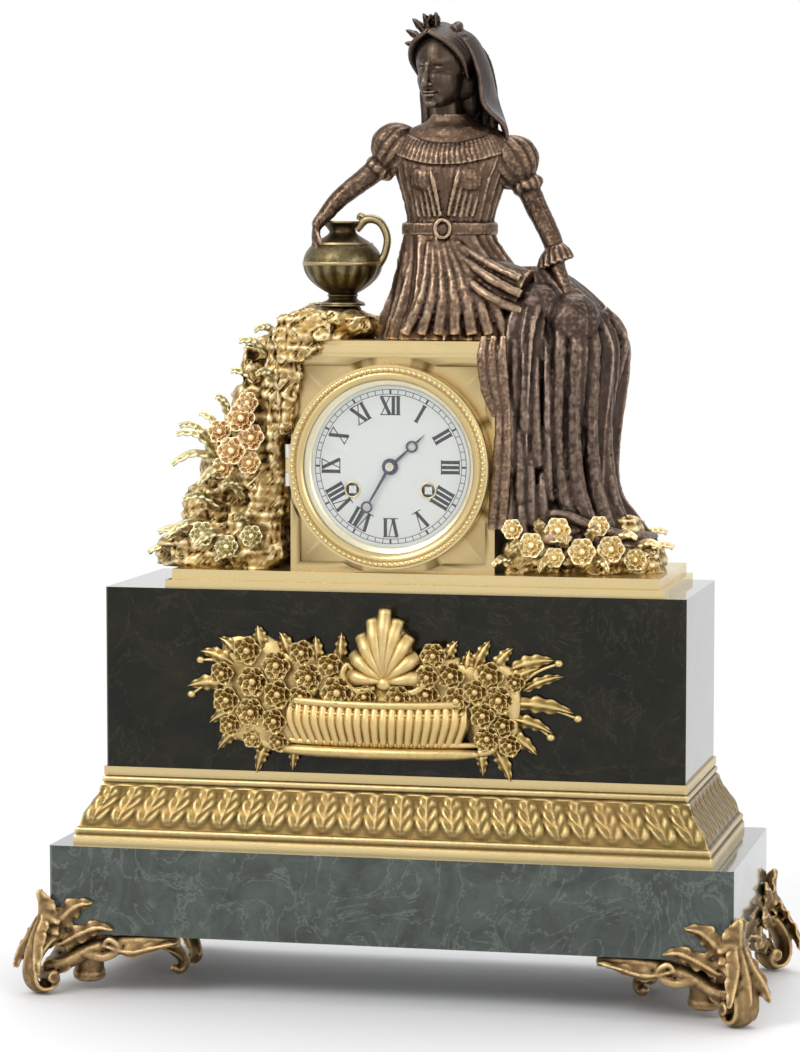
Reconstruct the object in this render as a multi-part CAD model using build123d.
from build123d import *
import os
from math import atan2, cos, degrees, hypot, radians, sin, sqrt

os.makedirs("parts", exist_ok=True)

# Frame: origin on the floor under the middle of the base, +Z up, the dial faces -Y, +X to its right.

# Values for every cut and fit
overrun = 6.0
fit_gap = 0.05
free_gap = 0.3

# Base: feet, plinth, moulded band, block and terrace plate, from the floor up
foot_height = 32.0
plinth_length = 360.0
plinth_depth = 138.0
plinth_height = 46.0
plinth_edge_chamfer = 1.5
band_height = 40.5
band_side_setback = 11.5
band_front_setback = 6.0
band_wall = 9.0
band_lip = 1.2
band_foot_height = 9.0
band_top_height = 6.5
block_length = 306.0
block_depth = 106.0
block_height = 94.5
block_edge_chamfer = 1.0
terrace_left = 121.6
terrace_right = 141.5
terrace_depth = 100.0
terrace_height = 9.5
terrace_step = 3.0
terrace_step_height = 4.0

# Feet: a scroll on the corner's diagonal, two wings under the plinth and a leaf on its corner
foot_inset = 9.0
foot_web = 15.0
foot_toe_reach = 26.0
foot_toe_radius = 9.5
foot_toe_flat = 0.6
foot_middle_gap = 7.7
foot_inner_toe_radius = 5.0
foot_wing_length = 74.0
foot_wing_thickness = 9.0
foot_wing_drop = 20.0
foot_wing_end_drop = 4.0
foot_leaf_height = 24.0
foot_leaf_width = 30.0
foot_leaf_thickness = 4.5

# Bolts of the feet and the tie rods that hold the stack together
foot_bolt_radius = 2.5
foot_bolt_head_radius = 5.0
foot_bolt_head_height = 3.5
foot_bolt_grip = 26.0
foot_bolt_recess = 5.0
tie_rod_radius = 3.0
tie_rod_spacing = 150.0
tie_nut_radius = 7.0
tie_nut_height = 6.0
tie_rod_bite = 6.0

# Case: a hollow square pedestal under a top slab
case_middle_x = -2.0
case_width = 108.0
case_depth = 80.0
case_height = 111.5
case_wall = 4.0
case_border = 1.6
case_border_width = 5.0
case_top_height = 8.0
case_top_overhang = 3.0
case_top_step = 2.0
aperture_radius = 44.5

# Dial, bezel and hands, in front of the case
dial_height_above_terrace = 55.0
dial_radius = 47.2
dial_thickness = 1.5
frame_flange_radius = 52.0
frame_flange_thickness = 3.0
frame_rim_radius = 49.5
frame_rim_height = 2.8
frame_sleeve_radius = 42.2
frame_sleeve_wall = 2.2
bezel_radius = 52.5
bezel_sight_radius = 46.0
bezel_thickness = 9.0
glass_radius = 48.6
glass_thickness = 1.4
glass_back_offset = 9.2
bezel_swing_gap = 4.0
hinge_overhang = 0.5
knuckle_radius = 2.0
knuckle_length = 7.0
hinge_pin_radius = 0.9
hour_hand_length = 25.0
hour_hand_hub_radius = 4.2
hour_hand_offset = 5.1
minute_hand_length = 39.0
minute_hand_hub_radius = 3.2
minute_hand_offset = 6.5
hand_thickness = 0.7
hand_width = 1.7
hand_eye_radius = 3.1
hand_eye_wall = 1.0
hour_hand_deg = 47.5
minute_hand_deg = 210.0

# Movement plates, pillars and straps
front_plate_setback = 5.0
plate_thickness = 2.0
plate_gap = 26.0
plate_radius = 42.2
pillar_radius = 2.6
pillar_pitch_radius = 38.3
pillar_tenon_radius = 1.4
pillar_tenon_length = 3.2
strap_thickness = 1.5
strap_width = 8.0
strap_lug_length = 6.0
strap_lug_depth = 6.0
strap_screw_radius = 1.25
strap_screw_head_radius = 2.6
strap_screw_head_height = 1.6
strap_screw_length = 7.0
ring_flange_radius = 50.0
ring_flange_thickness = 2.5
ring_opening_radius = 36.0
door_thickness = 1.2
door_knob_radius = 2.2
door_knob_height = 4.0

# Arbors and wheels, with places measured from the dial's centre
pivot_radius = 0.8
arbor_radius = 1.3
barrel_place_x = 20.0
barrel_place_z = -12.0
barrel_radius = 17.0
barrel_length = 16.0
barrel_wheel_thickness = 2.0
barrel_arbor_radius = 3.0
winding_square = 3.8
winding_pivot_radius = 2.2
rear_pivot_radius = 1.8
ratchet_radius = 7.0
ratchet_depth = 1.1
ratchet_thickness = 1.6
click_length = 9.0
click_width = 3.0
third_place_x = 14.0
third_place_z = 14.0
escape_place_z = 20.5
pallet_place_z = 33.0
second_place_z = 11.3
pin_place_x = -12.5
pin_place_z = 26.0
fly_place_x = -25.5
fly_place_z = 27.5
hammer_place_x = -36.4
hammer_place_z = 15.2
motion_place_z = -11.0
wheel_thickness = 1.2
wheel_hub_radius = 2.6
wheel_rim_width = 2.0
wheel_spoke_width = 1.8
pinion_length = 2.4
centre_wheel_from_back = 1.8
second_wheel_from_back = 4.3
third_wheel_from_front = 0.8
pin_wheel_from_front = 5.0
escape_wheel_from_front = 13.0
escape_radius = 8.0
escape_tooth_depth = 1.9
count_wheel_radius = 12.5
count_wheel_gap = 1.0
count_notch_depth = 2.0
count_notch_width = 1.4
strike_pin_radius = 0.45
strike_pin_length = 2.4
strike_pin_circle = 10.4
fly_blade_reach = 5.0
fly_blade_length = 9.0
fly_blade_thickness = 0.5

# Motion work under the dial
cannon_outer_radius = 2.2
cannon_bore_radius = 1.35
hour_pipe_wall = 0.9
cannon_pinion_length = 1.6
motion_wheel_thickness = 1.0
motion_pinion_length = 1.8

# Anchor, crutch and pendulum
anchor_thickness = 2.0
anchor_reach = 7.0
anchor_drop = 4.4
anchor_arm_width = 1.8
crutch_width = 2.2
crutch_thickness = 1.0
crutch_length = 26.0
crutch_prong_gap = 0.35
crutch_prong_radius = 0.6
cock_width = 24.0
cock_height = 9.0
cock_thickness = 2.0
cock_standoff = 4.0
cock_arm_reach = 8.0
cock_arm_width = 8.0
suspension_width = 3.0
suspension_thickness = 0.4
suspension_length = 9.0
pendulum_plane_offset = 10.0
pendulum_length = 119.0
pendulum_rod_radius = 1.0
pendulum_block_height = 5.0
pendulum_block_width = 5.0
bob_radius = 13.0
bob_thickness = 7.0
rating_nut_radius = 3.0
rating_nut_height = 2.6
rod_tail = 6.0
pocket_width = 50.0
pocket_depth = 26.0
pocket_drop = 48.0

# Bell, its stand and the hammer, behind the back plate
bell_radius = 30.0
bell_height = 15.0
bell_wall = 1.5
bell_mouth_offset = 17.0
bell_crown_radius = 9.0
stand_radius = 2.2
stand_place_x = 17.0
stand_place_z = -31.0
stand_arm_offset = 13.5
stand_arm_thickness = 2.4
stand_arm_width = 5.0
stand_stud_radius = 1.6
bell_nut_radius = 4.0
bell_nut_height = 2.5
hammer_stalk_width = 1.8
hammer_head_radius = 3.6
hammer_head_length = 7.0
hammer_gap = 0.6
hammer_head_deg = 139.0
hammer_tail_x = -23.4
hammer_tail_z = 21.0

# Front mount on the block: a basket of flowers between two sprays
mount_middle_x = -9.0
mount_height = 74.0
mount_length = 208.0
mount_relief = 13.0
mount_bed_thickness = 2.0

# Rockwork beside the case
rock_left_reach = 78.0
rock_left_height = 124.0
rock_depth = 88.0
rock_wall = 5.0
rock_core_inset = 7.0
rock_cap_height = 17.0
rock_cap_left = 74.0
rock_cap_right = 16.0
rock_right_reach = 136.0
rock_right_height = 36.0
rock_door_setback = 5.0
rock_step_width = 10.0

# Figure, from the top slab up, leaning on the ewer
figure_rise = 168.0
figure_split_x = 66.0
cloak_spread = 168.0
cloak_hem_height = 14.0
cloak_fold_rise = 4.0
cloak_fold_sink = 3.0
ewer_x = -38.0
ewer_radius = 21.0
ewer_height = 44.0
ewer_bore = 4.5
ewer_bore_depth = 14.0

# Counts and shares
barrel_teeth = 72
centre_pinion_teeth = 12
centre_teeth = 80
third_pinion_teeth = 6
third_teeth = 78
escape_pinion_teeth = 6
escape_teeth = 30
cannon_teeth = 12
motion_teeth = 36
motion_pinion_teeth = 10
hour_teeth = 40
second_pinion_teeth = 12
second_teeth = 54
pin_pinion_teeth = 6
pin_teeth = 60
fly_pinion_teeth = 6
ratchet_teeth = 16
spoke_count = 4
strike_pin_count = 10
hours_on_dial = 12
cloak_folds = 11
boulder_corners = 8
addendum_share = 0.80
dedendum_share = 1.15
tooth_root_share = 0.40
tooth_tip_share = 0.16
eye_place_share = 0.62
ratchet_face_share = 0.15
escape_face_share = 0.30
bob_edge_share = 0.25
bob_flat_share = 0.45
bell_shoulder_share = 0.55
bell_bulge_share = 0.86
hammer_neck_share = 0.40
knob_place_share = 0.80
cap_depth_share = 0.56
lobe_round_shares = ((0.0, 1.0), (0.7, 0.8), (1.0, 0.35))
pillar_degs = (4.5, 75.0, 175.5, 270.0)

# Boulders of the rocks: place and half sizes as shares of the rocks' reach, half depth and height, turn in degrees
boulder_level_shares = ((-1.0, 0.62), (-0.45, 1.0), (0.45, 1.0), (1.0, 0.62))
boulder_corner_shares = (1.0, 0.93, 1.04, 0.95, 0.98, 0.92, 1.05, 0.94)
boulder_left_shares = (
    (0.52, -0.45, 0.07, 0.38, 0.39, 0.11, 8), (0.32, 0.50, 0.08, 0.32, 0.45, 0.12, -10),
    (0.75, 0.32, 0.06, 0.21, 0.45, 0.10, 16), (0.24, -0.59, 0.13, 0.21, 0.34, 0.15, 5),
    (0.47, -0.09, 0.24, 0.28, 0.59, 0.15, -14), (0.62, -0.45, 0.21, 0.15, 0.32, 0.14, 22),
    (0.21, -0.23, 0.35, 0.22, 0.59, 0.19, 8), (0.60, 0.36, 0.32, 0.17, 0.41, 0.13, -8),
    (0.42, -0.32, 0.45, 0.22, 0.43, 0.13, 12), (0.27, 0.36, 0.50, 0.24, 0.50, 0.15, -6),
    (0.55, 0.14, 0.48, 0.15, 0.34, 0.11, 20), (0.19, -0.36, 0.61, 0.18, 0.45, 0.16, -10),
    (0.34, 0.14, 0.66, 0.15, 0.41, 0.11, 10), (0.17, 0.18, 0.77, 0.17, 0.50, 0.16, 4),
    (0.14, -0.18, 0.88, 0.14, 0.48, 0.11, -12), (0.83, -0.14, 0.04, 0.15, 0.41, 0.06, -12),
    (0.10, -0.70, 0.53, 0.09, 0.16, 0.45, 0), (0.22, -0.70, 0.48, 0.09, 0.17, 0.45, 12),
    (0.33, -0.62, 0.40, 0.09, 0.16, 0.38, -10),
)
boulder_right_shares = (
    (0.21, -0.50, 0.26, 0.21, 0.36, 0.36, 10), (0.54, -0.41, 0.24, 0.24, 0.41, 0.33, -8),
    (0.80, 0.0, 0.15, 0.18, 0.55, 0.25, 4), (0.26, 0.41, 0.32, 0.24, 0.45, 0.42, 6),
    (0.61, 0.41, 0.29, 0.24, 0.41, 0.39, -14), (0.40, 0.0, 0.54, 0.26, 0.55, 0.36, 12),
    (0.69, -0.09, 0.49, 0.17, 0.45, 0.28, 0), (0.14, -0.09, 0.49, 0.13, 0.50, 0.39, 0),
)

# Shares of the rocks' height and reach, and of the ewer's height and radius
rock_left_shares = ((0.0, 0.96), (0.27, 0.78), (0.55, 0.76), (0.70, 0.50), (1.0, 0.29))
ewer_shares = ((0.0, 0.55), (0.12, 0.42), (0.30, 0.85), (0.52, 1.0), (0.74, 0.72), (0.86, 0.34), (1.0, 0.38))

# Sections of the figure as shares of its rise: x, y and z of the middle, half width, half depth, direction
skirt_shares = (
    (0.149, 0.0, 0.0, 0.244, 0.196, 0, 0, 1), (0.155, 0.0, 0.119, 0.232, 0.185, 0, 0, 1),
    (0.131, 0.0, 0.226, 0.190, 0.140, 0, 0, 1), (0.116, 0.0, 0.333, 0.146, 0.098, 0, 0, 1),
)
bodice_shares = (
    (0.116, 0.0, 0.333, 0.146, 0.098, 0, 0, 1), (0.125, -0.01, 0.464, 0.173, 0.107, 0, 0, 1),
    (0.131, 0.0, 0.565, 0.205, 0.095, 0, 0, 1), (0.131, 0.0, 0.637, 0.150, 0.080, 0, 0, 1),
    (0.131, 0.0, 0.679, 0.060, 0.060, 0, 0, 1),
)
neck_shares = ((0.131, 0.0, 0.679, 0.052, 0.052, 0, 0, 1), (0.110, -0.005, 0.760, 0.050, 0.052, 0, 0, 1))
head_shares = (
    (0.101, -0.030, 0.690, 0.030, 0.035, 0, 0, 1), (0.101, -0.022, 0.738, 0.066, 0.080, 0, 0, 1),
    (0.101, -0.012, 0.821, 0.086, 0.100, 0, 0, 1), (0.101, -0.008, 0.905, 0.086, 0.100, 0, 0, 1),
    (0.101, -0.006, 0.964, 0.055, 0.066, 0, 0, 1), (0.101, -0.006, 0.988, 0.020, 0.024, 0, 0, 1),
)
hair_shares = (
    (0.262, 0.050, 0.600, 0.045, 0.050, 0, 0, 1), (0.214, 0.060, 0.740, 0.068, 0.072, 0, 0, 1),
    (0.143, 0.040, 0.860, 0.098, 0.105, 0, 0, 1), (0.100, 0.020, 0.950, 0.088, 0.095, 0, 0, 1),
    (0.065, 0.0, 1.0, 0.030, 0.036, 0, 0, 1),
)
ewer_arm_shares = (
    (-0.012, 0.012, 0.619, 0.066, 0.060, -0.8, 0, -0.6),
    (-0.083, 0.006, 0.607, 0.080, 0.072, -0.8, 0, -0.6),
    (-0.143, 0.0, 0.560, 0.062, 0.058, -0.65, 0, -0.75),
    (-0.226, -0.030, 0.452, 0.044, 0.044, -0.5, -0.1, -0.85),
    (-0.274, -0.060, 0.375, 0.034, 0.034, -0.4, -0.15, -0.9),
    (-0.298, -0.080, 0.330, 0.028, 0.030, -0.3, -0.1, -0.95),
)
cloak_arm_shares = (
    (0.274, 0.012, 0.583, 0.066, 0.060, 0.8, 0, -0.6), (0.345, 0.006, 0.565, 0.074, 0.070, 0.7, 0, -0.7),
    (0.381, 0.0, 0.494, 0.058, 0.058, 0.3, 0, -0.95),
    (0.411, -0.024, 0.345, 0.048, 0.048, 0.2, -0.1, -0.97),
    (0.440, -0.060, 0.262, 0.042, 0.042, 0.5, -0.2, -0.85),
    (0.524, -0.095, 0.131, 0.030, 0.032, 0.55, -0.1, -0.8),
)
cloak_shares = (
    (0.565, 0.0, -1.0, 0.200, 0.210, 0, 0, 1), (0.476, 0.0, -0.758, 0.166, 0.200, 0, 0, 1),
    (0.476, 0.0, -0.494, 0.166, 0.190, 0, 0, 1), (0.488, 0.0, -0.111, 0.180, 0.190, 0, 0, 1),
    (0.476, 0.0, 0.048, 0.170, 0.175, 0, 0, 1), (0.440, 0.0, 0.143, 0.125, 0.140, 0, 0, 1),
    (0.400, 0.0, 0.230, 0.060, 0.080, 0, 0, 1),
)
cloak_edge_shares = (
    (0.393, -0.160, -0.96, 0.074, 0.086, 0, 0, 1), (0.381, -0.167, -0.60, 0.060, 0.077, 0, 0, 1),
    (0.387, -0.164, -0.20, 0.066, 0.080, 0, 0, 1), (0.393, -0.143, 0.060, 0.077, 0.083, 0, 0, 1),
    (0.405, -0.095, 0.160, 0.060, 0.060, 0, 0, 1),
)

# Reach of the feet's inner toes along the diagonal, short of the plinth's middle line
foot_inner_reach = (plinth_depth / 2 - foot_inset - foot_middle_gap) * sqrt(2)

# Heights of the stack
plinth_top = foot_height + plinth_height
band_bottom_length = plinth_length - 2 * band_side_setback
band_bottom_depth = plinth_depth - 2 * band_front_setback
band_top = plinth_top + band_height
block_top = band_top + block_height
terrace_top = block_top + terrace_height
case_top = terrace_top + case_height
slab_top = case_top + case_top_height
dial_z = terrace_top + dial_height_above_terrace

# Planes of the clock from front to back
case_front = -case_depth / 2
case_back = case_depth / 2
flange_front = case_front - frame_flange_thickness
dial_front = flange_front - dial_thickness
front_plate_front = case_front + front_plate_setback
front_plate_back = front_plate_front + plate_thickness
back_plate_front = front_plate_back + plate_gap
back_plate_back = back_plate_front + plate_thickness
pallet_z = dial_z + pallet_place_z
pendulum_y = back_plate_back + pendulum_plane_offset


def block(x0, x1, y0, y1, z0, z1):
    """Box between two opposite corners."""
    return Pos((x0 + x1) / 2, (y0 + y1) / 2, (z0 + z1) / 2) * Box(x1 - x0, y1 - y0, z1 - z0)


def centred(length, depth, z0, z1):
    """Box centred on the clock's axis between two heights."""
    return block(-length / 2, length / 2, -depth / 2, depth / 2, z0, z1)


def disc(x, z, radius, y0, y1):
    """Cylinder along Y between two planes."""
    return Pos(x, (y0 + y1) / 2, z) * Rot(90, 0, 0) * Cylinder(radius, y1 - y0)


def post(x, y, radius, z0, z1):
    """Cylinder along Z between two heights."""
    return Pos(x, y, (z0 + z1) / 2) * Cylinder(radius, z1 - z0)


def ring(x, z, outer, inner, y0, y1):
    """Tube along Y between two planes."""
    return disc(x, z, outer, y0, y1) - disc(x, z, inner, y0 - overrun, y1 + overrun)


def prism(points, y0, y1):
    """Straight prism along Y on an outline in X and Z."""
    outline = make_face(Polyline(*points, close=True))
    return extrude(Plane((0, y1, 0), x_dir=(1, 0, 0), z_dir=(0, -1, 0)) * outline, y1 - y0)


def bar(x0, z0, x1, z1, width, y0, y1):
    """Flat bar from one place to another, seen from the front."""
    run = hypot(x1 - x0, z1 - z0)
    side_x = (z1 - z0) / run * width / 2
    side_z = (x1 - x0) / run * width / 2
    corners = [
        (x0 - side_x, z0 + side_z),
        (x1 - side_x, z1 + side_z),
        (x1 + side_x, z1 - side_z),
        (x0 + side_x, z0 - side_z),
    ]
    return prism(corners, y0, y1)


def oval_loft(sections):
    """Loft through ovals, each with its centre, half width, half depth and direction."""
    faces = []
    for centre, half_width, half_depth, direction in sections:
        across = Vector(0, 1, 0).cross(Vector(*direction))
        faces.append(Plane(centre, x_dir=across, z_dir=direction) * Ellipse(half_width, half_depth))
    return loft(faces)


def save(shape, name):
    """Write one node."""
    export_step(shape, f"parts/{name}.step")


# Base

def lower_plinth():
    """Marble plinth with holes for the foot bolts and the tie rods."""
    body = centred(plinth_length, plinth_depth, foot_height, plinth_top)
    body = chamfer(body.edges().filter_by(Axis.Z), plinth_edge_chamfer)
    for x, y in foot_bolt_places():
        body -= post(
            x, y, foot_bolt_radius + fit_gap, foot_height - overrun, foot_height + foot_bolt_grip + fit_gap,
        )
    return body - tie_rod_holes()


def foot_bolt_places():
    """The four bolts, one under each corner of the plinth."""
    x = plinth_length / 2 - foot_inset - foot_web / 2
    y = plinth_depth / 2 - foot_inset - foot_web / 2
    return [(side * x, end * y) for side in (-1, 1) for end in (-1, 1)]


def tie_rod_holes():
    """Holes through the whole stack for the two tie rods."""
    holes = Part()
    for side in (-1, 1):
        holes += post(
            side * tie_rod_spacing / 2, 0, tie_rod_radius + fit_gap, foot_height - overrun,
            block_top + tie_rod_bite,
        )
    return holes


def moulded_band():
    """Hollow gilt moulding that flares from the block to the plinth."""
    top_length = block_length + 2 * band_lip
    top_depth = block_depth + 2 * band_lip
    low = plinth_top + band_foot_height
    high = band_top - band_top_height
    flare = loft([
        Pos(0, 0, low) * Rectangle(band_bottom_length - 2 * band_lip, band_bottom_depth - 2 * band_lip),
        Pos(0, 0, high) * Rectangle(top_length - 2 * band_lip, top_depth - 2 * band_lip),
    ])
    body = centred(band_bottom_length, band_bottom_depth, plinth_top, low) + flare
    body += centred(top_length, top_depth, high, band_top)
    inner_length = block_length - 2 * band_wall
    inner_depth = block_depth - 2 * band_wall
    return body - centred(inner_length, inner_depth, plinth_top - overrun, band_top + overrun)


def marble_block():
    """Dark block with a pocket that the pendulum swings in."""
    body = centred(block_length, block_depth, band_top, block_top)
    body = chamfer(body.edges().filter_by(Axis.Z), block_edge_chamfer)
    return body - pendulum_pocket() - tie_rod_holes()


def pendulum_pocket():
    """The space of the swinging bob, through the terrace plate into the block."""
    return block(
        case_middle_x - pocket_width / 2, case_middle_x + pocket_width / 2,
        pendulum_y - pocket_depth / 2, pendulum_y + pocket_depth / 2,
        block_top - pocket_drop, terrace_top + overrun,
    )


def terrace_plate():
    """Gilt plate with one step, which carries the case and the figure."""
    low = block_top + terrace_step_height
    body = block(-terrace_left, terrace_right, -terrace_depth / 2, terrace_depth / 2, block_top, low)
    body += block(
        -terrace_left + terrace_step, terrace_right - terrace_step,
        -terrace_depth / 2 + terrace_step, terrace_depth / 2 - terrace_step, low, terrace_top,
    )
    return body - pendulum_pocket() - tie_rod_holes()


def foot():
    """One foot for the corner at +X and -Y, turned or mirrored for the others."""
    corner_x = plinth_length / 2
    corner_y = -plinth_depth / 2
    scroll = scroll_web(corner_x, corner_y)
    wings = wing(corner_x, corner_y)
    body = scroll + wings + corner_leaf(corner_x, corner_y)
    bolt_x = corner_x - foot_inset - foot_web / 2
    bolt_y = corner_y + foot_inset + foot_web / 2
    body += post(bolt_x, bolt_y, foot_web / 2, foot_bolt_recess, foot_height)
    body -= post(bolt_x, bolt_y, foot_bolt_radius + fit_gap, 0, foot_height + overrun)
    body -= post(
        bolt_x, bolt_y, foot_bolt_head_radius + free_gap, -overrun,
        foot_bolt_recess + foot_bolt_head_height,
    )
    return body


def scroll_web(corner_x, corner_y):
    """Upright scroll on the diagonal, from the outer toe to the inner toe."""
    reach = foot_toe_reach - foot_toe_radius
    inner = foot_inner_reach - foot_inner_toe_radius
    outline = [
        (reach + foot_toe_radius, foot_toe_radius),
        (reach - foot_toe_radius / 2, foot_height),
        (-inner, foot_height),
        (-inner - foot_inner_toe_radius, foot_inner_toe_radius),
        (-inner + foot_inner_toe_radius, foot_inner_toe_radius),
        (-inner + foot_inner_toe_radius * 2, foot_height - foot_wing_drop / 2),
        (-foot_inner_toe_radius * 4, foot_height - foot_wing_drop),
        (reach - foot_toe_radius, foot_toe_radius),
    ]
    web = prism(outline, -foot_web / 2, foot_web / 2)
    web += disc(reach, foot_toe_radius - foot_toe_flat, foot_toe_radius, -foot_web / 2, foot_web / 2)
    web += disc(
        -inner, foot_inner_toe_radius - foot_toe_flat, foot_inner_toe_radius, -foot_web / 4, foot_web / 4,
    )
    web -= block(-foot_inner_reach - overrun, foot_toe_reach + overrun, -foot_web, foot_web, -overrun, 0)
    placed = Pos(corner_x - foot_inset, corner_y + foot_inset, 0) * Rot(0, 0, -45) * web
    return placed


def wing(corner_x, corner_y):
    """Two brackets under the plinth's front and side, deepest at the corner."""
    high = foot_height
    low = foot_height - foot_wing_drop
    end = foot_height - foot_wing_end_drop
    front = [(0, high), (-foot_wing_length, high), (-foot_wing_length, end), (0, low)]
    piece = prism(front, 0, foot_wing_thickness)
    front_wing = Pos(corner_x, corner_y, 0) * piece
    side_length = plinth_depth / 2 - foot_inset
    side = [(0, high), (-side_length, high), (-side_length, end), (0, low)]
    side_piece = prism(side, -foot_wing_thickness, 0)
    side_wing = Pos(corner_x, corner_y, 0) * Rot(0, 0, -90) * side_piece
    return front_wing + side_wing


def corner_leaf(corner_x, corner_y):
    """Leaf that climbs the plinth's corner, outside the marble."""
    thick = foot_leaf_thickness
    low = foot_height - foot_wing_drop
    high = foot_height + foot_leaf_height
    front = [
        (-foot_leaf_width, foot_height - foot_leaf_thickness),
        (-foot_leaf_width / 2, foot_height + foot_leaf_height / 2),
        (-foot_leaf_thickness, high), (thick, high), (thick, low), (-foot_leaf_width / 2, low),
    ]
    piece = Pos(corner_x, corner_y, 0) * prism(front, -thick, 0)
    side = [
        (-thick, high), (foot_leaf_thickness, high),
        (foot_leaf_width / 2, foot_height + foot_leaf_height / 2),
        (foot_leaf_width, foot_height - foot_leaf_thickness), (foot_leaf_width / 2, low), (-thick, low),
    ]
    turned = Rot(0, 0, 90) * prism(side, -thick, 0)
    return piece + Pos(corner_x, corner_y, 0) * turned


def placed_foot(side, end):
    """The foot of one corner: side 1 is +X, end -1 is the front."""
    body = corner_foot
    if side < 0:
        body = mirror(body, about=Plane.YZ)
    if end > 0:
        body = mirror(body, about=Plane.XZ)
    return body


def base_bolts():
    """Four foot bolts with heads and two tie rods with nuts."""
    solids = []
    for x, y in foot_bolt_places():
        head_low = foot_bolt_recess
        bolt = post(x, y, foot_bolt_head_radius, head_low, head_low + foot_bolt_head_height)
        bolt += post(x, y, foot_bolt_radius, head_low, foot_height + foot_bolt_grip)
        solids.append(bolt)
    for side in (-1, 1):
        x = side * tie_rod_spacing / 2
        nut = Pos(x, 0, foot_height - tie_nut_height) * extrude(
            RegularPolygon(tie_nut_radius, 6), tie_nut_height,
        )
        solids.append(
            nut + post(x, 0, tie_rod_radius, foot_height - tie_nut_height, block_top + tie_rod_bite),
        )
    return Compound(children=solids)


def front_mount():
    """Gilt relief on the block: bed, basket, bouquet, side clusters and thin sprays."""
    front = -block_depth / 2
    middle_z = band_top + block_height / 2
    half = mount_length / 2
    bed_shares = [
        (-1.0, 0.10), (-0.72, 0.42), (-0.40, 0.50), (-0.22, 0.72), (0.0, 1.0), (0.20, 0.72), (0.42, 0.45),
        (0.74, 0.36), (1.0, 0.06), (0.74, -0.28), (0.50, -0.74), (0.0, -1.0), (-0.46, -0.78),
        (-0.72, -0.34),
    ]
    points = [(mount_middle_x + x * half, middle_z + z * mount_height / 2) for x, z in bed_shares]
    body = prism(points, front - mount_bed_thickness, front)
    lobe_shares = [
        (0.0, 0.38, 0.21, 0.60, 1.0), (-0.02, -0.55, 0.46, 0.34, 0.8), (-0.42, 0.05, 0.20, 0.46, 0.7),
        (0.38, 0.0, 0.18, 0.44, 0.7), (-0.66, 0.06, 0.10, 0.30, 0.5), (0.66, -0.02, 0.10, 0.28, 0.5),
    ]
    for x, z, wide, high, deep in lobe_shares:
        place = (mount_middle_x + x * half, middle_z + z * mount_height / 2)
        faces = []
        for out, size in lobe_round_shares:
            plane = Plane(
                (place[0], front - deep * mount_relief * out, place[1]), x_dir=(1, 0, 0), z_dir=(0, -1, 0),
            )
            faces.append(plane * Ellipse(wide * half * size, high * mount_height / 2 * size))
        body += loft(faces)
    return body


# Case

def clock_case():
    """Hollow gilt pedestal with round openings in front and behind, open below."""
    left = case_middle_x - case_width / 2
    right = case_middle_x + case_width / 2
    body = block(left, right, case_front, case_back, terrace_top, case_top)
    body -= block(
        left + case_wall, right - case_wall, case_front + case_wall, case_back - case_wall,
        terrace_top - overrun, case_top - case_wall,
    )
    rim = block(left, right, case_front - case_border, case_front, terrace_top, case_top)
    rim -= block(
        left + case_border_width, right - case_border_width, case_front - overrun, case_front + overrun,
        terrace_top + case_border_width, case_top - case_border_width,
    )
    rim -= disc(
        case_middle_x, dial_z, bezel_radius + bezel_swing_gap + free_gap, case_front - overrun, case_front,
    )
    body += rim
    return body - disc(case_middle_x, dial_z, aperture_radius, case_front - overrun, case_back + overrun)


def case_slab():
    """Top slab of the case, with a step round its edge."""
    left = case_middle_x - case_width / 2 - case_top_overhang
    right = case_middle_x + case_width / 2 + case_top_overhang
    front = case_front - case_top_overhang
    back = case_back + case_top_overhang
    body = block(
        left + case_top_step, right - case_top_step, front + case_top_step, back - case_top_step, case_top,
        slab_top,
    )
    return body + block(left, right, front, back, case_top + case_top_step, slab_top - case_top_step)


# Dial and bezel

def dial_frame():
    """Fixed ring that carries the dial and takes the front ends of the straps."""
    body = ring(
        case_middle_x, dial_z, frame_flange_radius, frame_sleeve_radius - frame_sleeve_wall, flange_front,
        case_front,
    )
    body += ring(
        case_middle_x, dial_z, frame_sleeve_radius, frame_sleeve_radius - frame_sleeve_wall, case_front,
        front_plate_front,
    )
    body += ring(
        case_middle_x, dial_z, frame_rim_radius, dial_radius + fit_gap, flange_front - frame_rim_height,
        flange_front,
    )
    return body


def dial():
    """Enamel dial with holes for the hands and the winding squares."""
    body = disc(case_middle_x, dial_z, dial_radius, dial_front, flange_front)
    body -= disc(
        case_middle_x, dial_z, cannon_outer_radius + hour_pipe_wall + free_gap, dial_front - overrun,
        flange_front + overrun,
    )
    for side in (-1, 1):
        x = case_middle_x + side * barrel_place_x
        body -= disc(
            x, dial_z + barrel_place_z, winding_square, dial_front - overrun, flange_front + overrun,
        )
    return body


def hinge_place():
    """Place of the bezel's hinge pin, at the case's left edge, on the frame's front plane."""
    return case_middle_x - case_width / 2 - hinge_overhang, flange_front


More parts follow.
